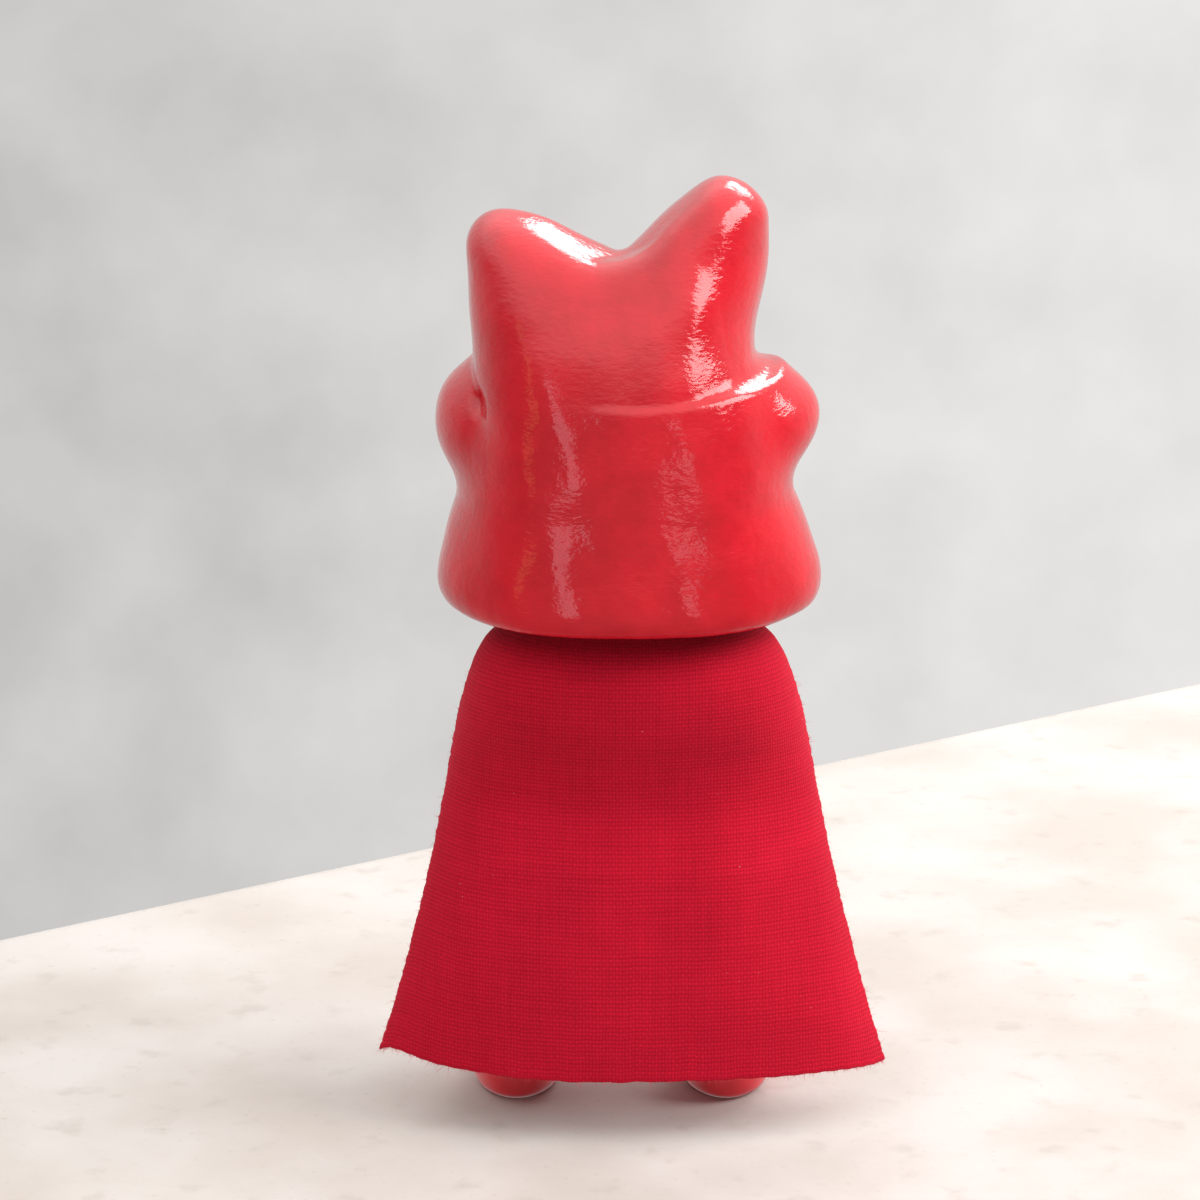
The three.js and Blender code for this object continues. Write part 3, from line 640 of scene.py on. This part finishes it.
def spun_thread(name, dark, light, twist):
    """Spun cotton: short fibres in two shades running aslant, with a fuzzy, dull surface."""
    thread = Finish(name, {"Sheen Weight": 0.4, "Sheen Roughness": 0.4, "Specular IOR Level": 0.12,
                           "Sheen Tint": (1.0, 0.4, 0.45, 1)})
    fibres = thread.node("ShaderNodeTexNoise", {}, {
        "Vector": thread.place, "Scale": 1 / (twist * MM), "Detail": 3.0, "Distortion": 0.6})
    thread.show(Base_Color=thread.blend(fibres.rise(0.3, 0.7), dark, light),
                Roughness=fibres.rise(0.3, 0.7, 0.78, 0.95))
    thread.relief(fibres * 25e-6)
    return thread.material


def edge_fray():
    """Whiskers at random places along both cut sides and the hem, pointing out of the cloth; most
    are short, and their lengths fall off as an exponential."""
    random = np.random.default_rng(11)
    roots, ways = [], []
    for edge, count in (("left", 560), ("right", 700), ("hem", 860)):
        place = random.uniform(0, 1, count)
        if edge == "hem":
            u, z = 2 * place - 1, np.full(count, HEM_Z)
            way = np.stack([0.35 * u, np.zeros(count), -np.ones(count)], -1)
        else:
            sign = -1.0 if edge == "left" else 1.0
            u, z = np.full(count, sign), HEM_Z + (56.0 - HEM_Z) * place
            way = np.stack([np.full(count, sign), np.full(count, 0.5), np.full(count, -0.25)], -1)
        roots.append(cape_surface(u, z) - 0.15 * way)
        ways.append(way + random.normal(0, 0.32, (count, 3)))
    roots, ways = np.vstack(roots), np.vstack(ways)
    ways /= np.linalg.norm(ways, axis=1, keepdims=True)
    lengths = 0.24 + 0.50 * random.exponential(0.36, len(roots)).clip(0, 2.6)
    return fray("cape_fray", roots, ways, lengths, 5)


fray_thread = spun_thread("fray_cotton", (0.46, 0.010, 0.028, 1), (0.80, 0.110, 0.150, 1), 0.15)
cape_fray = set_in_place(edge_fray(), "torso", [], fray_thread)


# ---- Collar, tie and knot -----------------------------------------------------------------------
# The cape's neck edge is folded over a length of twisted cotton thread, which gathers it round the
# neck and is knotted at the throat, leaving two short ends.
COLLAR_R, COLLAR_TOP, COLLAR_FOOT = 8.85, 64.1, 60.6
TIE_R, TIE_Z, TIE_THREAD_R, TIE_STEPS = 10.2, 63.4, 0.5, 420


def collar_points(u, z):
    """A band round the neck, open at the throat: a circle's arc plus small gathers that die out
    towards its lower edge."""
    half = np.radians(150)
    radius = COLLAR_R + 0.22 * np.sin(u * 34) * np.clip((z - 60.4) / 3.8, 0, 1)
    return np.stack(np.broadcast_arrays(
        radius * np.sin(u * half), -radius * np.cos(u * half), z + 0.12 * np.sin(u * 21)), -1)


collar_z = np.linspace(COLLAR_TOP, COLLAR_FOOT, 17)[:, None]
collar_grid = collar_points(np.linspace(-1, 1, 221)[None], collar_z)
collar_flat_v = np.repeat(COLLAR_TOP - collar_z, 221, 1)
collar = set_in_place(
    cloth_skin("cape_neck_fold", collar_grid, arc_length(collar_grid, 1), collar_flat_v, 0.42),
    "torso", ["cape_collar"], cape_cotton, 60)

tie_thread = spun_thread("tie_cotton", (0.20, 0.004, 0.012, 1), (0.46, 0.018, 0.032, 1), 0.22)


def twisted(line, radius, turns, closed):
    """Two-ply thread along a line: each section is an oval that turns with distance along it."""
    line = np.asarray(line, float)
    if closed:
        down = np.roll(line, -1, 0) - np.roll(line, 1, 0)
    else:
        down = np.gradient(line, axis=0)
    down /= np.linalg.norm(down, axis=1, keepdims=True)
    out = np.cross(down, [0.13, 0.09, 0.987])
    out /= np.linalg.norm(out, axis=1, keepdims=True)
    up = np.cross(down, out)
    turn = np.linspace(0, 2 * np.pi, 16, endpoint=False)[None, :]
    twist = np.linspace(0, 2 * np.pi * turns, len(line), endpoint=not closed)[:, None]
    reach = radius * (0.80 + 0.20 * np.cos(2 * (turn - twist)))
    return (line[:, None] + (reach * np.cos(turn))[..., None] * out[:, None]
            + (reach * np.sin(turn))[..., None] * up[:, None])


tie_turn = np.linspace(0, 2 * np.pi, TIE_STEPS, endpoint=False)
tie_line = np.stack([TIE_R * np.sin(tie_turn), -TIE_R * np.cos(tie_turn),
                     np.full(TIE_STEPS, TIE_Z)], -1)
tie_rings = twisted(tie_line, TIE_THREAD_R, 34, True)
tie_rings = np.concatenate([tie_rings, tie_rings[:1]])
tie = skin("neck_tie", tie_rings, closed=False)
set_in_place(tie, "torso", ["cape_tie"], tie_thread, 70)


def knot_parts():
    """An overhand knot: two crossed loops of thread, and an end that falls on each side."""
    t = np.linspace(0, 2 * np.pi, 120)
    front = 12.25
    loop = np.stack([1.15 * np.sin(t) + 0.35 * np.sin(2 * t), front + 0.45 * np.cos(2 * t) + 0.25,
                     TIE_Z + 0.75 * np.cos(t)], -1)
    bar = np.stack([0.75 * np.cos(t), front + 0.55 * np.sin(t), 63.35 + 0.95 * np.sin(t + 0.9)], -1)
    parts = [skin("loop", twisted(loop, 0.52, 10, False)), skin("bar", twisted(bar, 0.5, 9, False))]
    fall = np.linspace(0, 1, 60)
    for side in (-1, 1):
        end = np.stack([
            through([(0, 0.2), (0.35, 1.2), (1, 2.2)], fall) * side,
            through([(0, front), (0.35, front + 0.5), (1, front)], fall),
            through([(0, 63.1), (0.35, 60.6), (1, 54.6)], fall)], -1)
        parts.append(skin("end", twisted(end, 0.44, 7, False)))
    return parts


set_in_place(joined("neck_knot", knot_parts()), "torso", ["tie_knot"], tie_thread, 70)


# ---- Neck plate ---------------------------------------------------------------------------------
# A nylon disc with a round hole, pressed into the open bell of the head. The neck peg's mushroom
# head bears on it from above, which holds the head on and lets it turn.
dress("neck_plate", peg_nylon)


# ---- Head ---------------------------------------------------------------------------------------
# One hollow casting in glossy red enamel: a crown with two ears, of which the right one is tall and
# the left one broad, over a flared neck guard with a lobe at each cheek. The face is a bed cut for
# the mask, and the bell is open below.
CROWN_WIDTH = [(60, 17.6), (80, 17.6), (90, 17.5), (96, 17.6), (104, 18.1), (109, 18.2),
               (112, 17.8), (116, 16.3)]
CROWN_DEPTH = [(60, 20.3), (80, 20.3), (87, 20.2), (91, 19.9), (96, 18.8), (100, 17.2),
               (104, 15.0), (108, 12.4), (112, 9.6), (116, 7.0)]
GUARD_WIDTH = [(63.6, 22.1), (64.2, 22.9), (65.8, 23.5), (68, 23.4), (70.6, 22.75), (73.1, 22.0),
               (75.6, 21.1), (77.1, 20.5), (80, 20.0), (85, 19.6), (91, 18.6), (97, 17.0)]
GUARD_DEPTH = [(63.6, 21.1), (64.2, 21.8), (65.8, 22.3), (68, 22.1), (70.6, 21.6), (73.1, 21.1),
               (75.6, 20.8), (77.1, 20.7), (80, 20.8), (85, 20.9), (89, 20.6), (91, 20.2),
               (97, 19.0)]
BELL = [(63.6, 19.2), (67.5, 18.8), (71.5, 18.25), (77, 17.3), (84, 16.4), (90, 15.4), (96, 12.6),
        (100, 8.6), (102, 4.4), (103, 1.2)]
RIM_Z, FAN_Z, HEAD_X = 63.6, 84.0, -0.8
EARS = [(-16.5, 111.5, 8.0, 0.62), (11.8, 115.4, 5.6, 1.19)]         # x, top, reach, fall
LOBES = [(-16.7, 3.0, 85.5, 7.1, 12.5, 7.4, -0.26, 4.0),           # x, y, z, radii, lean, blend
         (14.7, 1.8, 85.2, 8.7, 12.5, 6.0, 0.29, 4.0)]
FACE_Z, FACE_WIDTH, FACE_HEIGHT, FACE_Y, BED_DEPTH = 83.0, 14.4, 10.8, 19.5, 2.0


def soft_min(a, b, k):
    """The lesser of two fields, rounded over a width k where they meet."""
    h = np.clip(0.5 + 0.5 * (b - a) / k, 0, 1)
    return b * (1 - h) + a * h - k * h * (1 - h)


def soft_max(a, b, k):
    return -soft_min(-a, -b, k)


def oval(x, y, rx, ry, power):
    """Negative inside the superellipse |x/rx|^power + |y/ry|^power = 1."""
    share = (np.abs(x / rx) ** power + np.abs(y / ry) ** power) ** (1 / power)
    return (share - 1) * np.minimum(rx, ry)


def lobe_field(lobe, x, y, z):
    """Negative inside a leaning ellipsoid: its scaled radius less one, over its own steepness."""
    cx, cy, cz, rx, ry, rz, lean, _ = lobe
    dx = (x - cx) * math.cos(lean) + (z - cz) * math.sin(lean)
    dz = (z - cz) * math.cos(lean) - (x - cx) * math.sin(lean)
    dy = y - cy
    near = np.sqrt((dx / rx) ** 2 + (dy / ry) ** 2 + (dz / rz) ** 2)
    steep = np.sqrt((dx / rx ** 2) ** 2 + (dy / ry ** 2) ** 2 + (dz / rz ** 2) ** 2)
    return near * (near - 1) / np.maximum(steep, 1e-6)


def head_field(x, y, z):
    """Negative inside the head. Crown: a superellipse cut off by the crest, where each ear is one
    branch of a hyperbola; it thins towards the crest (pinch) and is drawn in above the right lobe
    (tuck) and below the right ear (hollow). Guard: a flared oval bell with a ledge on top and a lobe
    on each side. A casting pit lies by the left lobe, and the whole has a slight ripple."""
    left, right = (top - (np.sqrt(1 + ((x - at) / reach) ** 2) - 1) * reach * fall
                   for at, top, reach, fall in EARS)
    away = np.clip((-y - 2) / 7, 0, 1)
    crest = soft_max(left, right, 2.3 + 5 * away * away * (3 - 2 * away))
    pinch = z + 0.55 * (111 - soft_max(left, right, 8)) * np.clip((z - 88) / 14, 0, 1)
    walls = oval(x + 1.45, y, through(CROWN_WIDTH, z), through(CROWN_DEPTH, pinch), 2.7)
    slope = 2.4 + 1.4 * np.clip((-x - 2) / 8, 0, 1)
    tuck = 1.1 * np.exp(-((z - 96.5) / 5) ** 2) * np.clip((x - 1) / 12, 0, 1) ** 1.5
    hollow = 2.2 * np.exp(-((z - 103) / 9) ** 2 - ((x - 13) / 8) ** 2) * np.clip(-y / 12, 0, 1)
    walls = walls + tuck + hollow
    crown = soft_max(walls, (z - crest + slope * y * y / (y * y + 90)) / 1.2,
                     3.5 - np.clip((x - 8) / 6, 0, 1))
    shift = 0.4 * np.exp(-((z - 78) / 6) ** 2)
    guard = oval(x + shift, y, through(GUARD_WIDTH, z), through(GUARD_DEPTH, z), 2.12)
    guard = soft_max(guard, z - 90.6 - 0.004 * x * x, 0.7)
    for lobe in LOBES:
        guard = soft_min(guard, lobe_field(lobe, x, y, z), lobe[-1])
    low = np.clip((89.5 - z) / 9, 0, 1)
    side = np.clip((x - 4) / 10, 0, 1)
    fillet = 0.5 + 2.2 * low * low * (3 - 2 * low) + 2.0 * side * side * (3 - 2 * side)
    pit = 0.9 * np.exp(-((x + 17.8) / 0.8) ** 2 - ((z - 89.2) / 1.7) ** 2 - ((y + 6) / 5) ** 2)
    ripple = 0.04 * np.sin(x * 0.9 + z * 0.35) + 0.04 * np.sin(z * 0.8 - x * 0.3 + 1.1)
    return soft_min(crown, guard, fillet) + ripple + pit


def head_reach(origin, way):
    """Distance along each ray to the head's surface, found by halving."""
    near, far = np.full(way.shape[:-1], 3.0), np.full(way.shape[:-1], 42.0)
    for _ in range(24):
        middle = (near + far) / 2
        at = origin + way * middle[..., None]
        inside = head_field(at[..., 0], at[..., 1], at[..., 2]) < 0
        near, far = np.where(inside, middle, near), np.where(inside, far, middle)
    return near


def mask_share(points):
    """1 on the mask's outline, less inside it, as the face is seen from the head's middle."""
    ahead = np.maximum(points[..., 1], 0.5)
    x = points[..., 0] * FACE_Y / ahead
    z = (points[..., 2] - FACE_Z) * FACE_Y / ahead
    return np.where(points[..., 1] > 2, np.hypot(x / FACE_WIDTH, z / FACE_HEIGHT), 9.0)


def head_rings():
    """Rays fan out over the crown and run level below it to the rim, where the wall rolls in to
    the bell; the mask's bed is sunk into the front."""
    around = 336
    turn = np.linspace(0, 2 * np.pi, around, endpoint=False)
    rise = np.radians(np.linspace(89.6, 0, 122))
    level = np.linspace(FAN_Z, RIM_Z + 0.02, 66)[1:]
    tilt = np.concatenate([rise, np.zeros(len(level))])[:, None]
    way = np.stack(np.broadcast_arrays(np.cos(turn) * np.cos(tilt), np.sin(turn) * np.cos(tilt),
                                       np.sin(tilt)), -1)
    origin = np.zeros((len(tilt), 1, 3))
    origin[..., 0] = HEAD_X
    origin[..., 2] = np.concatenate([np.full(len(rise), FAN_Z), level])[:, None]
    outside = origin + way * head_reach(origin, way)[..., None]
    middle = np.array([0, 0, FACE_Z])
    inward = outside - middle
    inward /= np.linalg.norm(inward, axis=-1, keepdims=True)
    bed = np.clip((1.075 - mask_share(outside)) / 0.075, 0, 1)
    outside = outside - BED_DEPTH * (bed * bed * (3 - 2 * bed))[..., None] * inward
    z = np.concatenate([[RIM_Z - 0.25, RIM_Z - 0.1, RIM_Z + 0.25], np.linspace(65, 102.9, 34)])
    radius = through(BELL, z)
    radius[:2] += (1.2, 0.45)                       # the rim's rolled lip
    nil = np.zeros(len(z))
    inside = ovals(z, nil, nil, radius, radius, around)
    rim = outside[-1:] * 1.0
    rim[..., 2] = RIM_Z - 0.15
    rim[..., :2] *= 0.985
    return np.concatenate([outside, rim, inside])


head_enamel = sprayed_paint("head_enamel", (0.53, 0.0090, 0.0190, 1), (0.45, 0.0070, 0.0150, 1),
                            0.12, 5.6e-5, 0.5)
set_in_place(skin("head_cast", head_rings()), "head", ["head_shell"],
             head_enamel, 50)


# ---- Mask, eyes and nose ------------------------------------------------------------------------
# An oval mask in a lighter, satin red is pressed into the head's bed. Two black glass-like eyes are
# glued into hollows in it and a small nose onto its muzzle, above a plain engraved mouth.
EYE_X, EYE_Z, NOSE_Z, MOUTH_Z = 6.4, 86.2, 80.6, 77.3


def face_relief(x, z):
    """How far the mask stands proud of the head: a soft muzzle, low cheeks, a hollow with a raised
    lid round each eye, and a shallow mouth line that curves up at its ends under a short cleft."""
    muzzle = 1.7 * np.exp(-((x / 5.2) ** 2) - ((z - 78.6) / 3.6) ** 2)
    cheeks = 0.5 * np.exp(-(((np.abs(x) - 8.5) / 4) ** 2) - ((z - 79) / 4) ** 2)
    socket = np.hypot((np.abs(x) - EYE_X) / 2.75, (z - EYE_Z) / 3.15)
    lid = 0.16 * np.exp(-((socket - 1.16) / 0.13) ** 2)
    hollow = -0.9 * np.clip((1.0 - socket) / 0.12, 0, 1)
    mouth = -0.28 * np.exp(-((z - MOUTH_Z - 0.055 * x * x) / 0.22) ** 2)
    mouth = mouth * np.clip(3.6 - np.abs(x), 0, 1)
    cleft = -0.18 * np.exp(-((x / 0.2) ** 2)) * np.clip((z - MOUTH_Z) / 0.3, 0, 1)
    cleft = cleft * np.clip((79.8 - z) / 0.3, 0, 1)
    return muzzle + cheeks + lid + hollow + mouth + cleft


def face_points(x, z, out, relief):
    """The head's surface where rays from its middle through (x, FACE_Y, z) meet it, moved out."""
    middle = np.array([0, 0, FACE_Z])
    way = np.stack(np.broadcast_arrays(x, FACE_Y, z - FACE_Z), -1)
    way = way / np.linalg.norm(way, axis=-1, keepdims=True)
    reach = head_reach(middle, way) + out
    if relief:
        reach = reach + face_relief(x, z)
    return middle + way * reach[..., None]


def mask_rings():
    """Ovals that grow from the mask's middle to its outline over the relief, roll back at the rim
    and close again behind, 1.7 mm below the head's own surface."""
    turn = np.linspace(0, 2 * np.pi, 220, endpoint=False)[None]
    share = np.concatenate([np.linspace(0.012, 0.975, 84), [0.985, 0.993, 0.998, 1.0]])[:, None]
    roll = np.concatenate([np.zeros(84), [-0.02, -0.08, -0.18, -0.32]])[:, None]
    front = face_points(share * FACE_WIDTH * np.cos(turn),
                        FACE_Z + share * FACE_HEIGHT * np.sin(turn), 0.1 + roll, True)
    back_share = np.array([1.0, 1.0, 0.8, 0.4, 0.05])[:, None]
    depth = np.array([-0.8, -1.7, -1.7, -1.7, -1.7])[:, None]
    back = face_points(back_share * FACE_WIDTH * np.cos(turn),
                       FACE_Z + back_share * FACE_HEIGHT * np.sin(turn), depth, False)
    return np.concatenate([front, back])


def bead_rings(x, z, out, rx, ry, rz):
    """An egg-shaped bead set into the mask's front at (x, z)."""
    y = face_points(np.array([x]), np.array([z]), 0.1, False)[0, 1] + out
    rise = np.linspace(-np.pi / 2 + 0.03, np.pi / 2 - 0.03, 40)[:, None]
    turn = np.linspace(0, 2 * np.pi, 56, endpoint=False)
    return np.stack(np.broadcast_arrays(
        x + rx * np.cos(rise) * np.cos(turn), y + ry * np.cos(rise) * np.sin(turn),
        z + rz * np.sin(rise)), -1)


def glossy_black():
    """Polished black glass: a deep brown-black body, a hard clear skin and the faintest haze."""
    glass = Finish("eye_glass", {"Coat Weight": 1.0, "Coat Roughness": 0.02, "Coat IOR": 1.55})
    stretched = glass.node("ShaderNodeMapping", {}, {"Vector": glass.place, "Scale": (1, 1, 6)})
    haze = glass.cloud(stretched, 0.5 * MM, 3)
    glass.show(Base_Color=glass.blend(haze, (0.002, 0.0015, 0.0015, 1), (0.008, 0.005, 0.0045, 1)),
               Roughness=haze.rise(0.3, 0.7, 0.05, 0.16))
    glass.relief(haze * 1.5e-6)
    return glass.material


mask_paint = sprayed_paint("mask_paint", (0.68, 0.085, 0.060, 1), (0.58, 0.060, 0.045, 1), 0.36,
                           5e-6, 0.45)
eye_glass = glossy_black()
set_in_place(skin("mask", mask_rings()), "head", ["face_plate"], mask_paint)
for side, word in ((-1, "left"), (1, "right")):
    set_in_place(skin(f"{word}_eye_bead", bead_rings(side * EYE_X, EYE_Z, -0.35, 2.3, 1.3, 2.7)),
                 "head", [f"{word}_eye"], eye_glass)
set_in_place(skin("nose_bead", bead_rings(0, NOSE_Z, 0.75, 2.0, 1.4, 1.3)), "head", ["nose"],
             eye_glass)
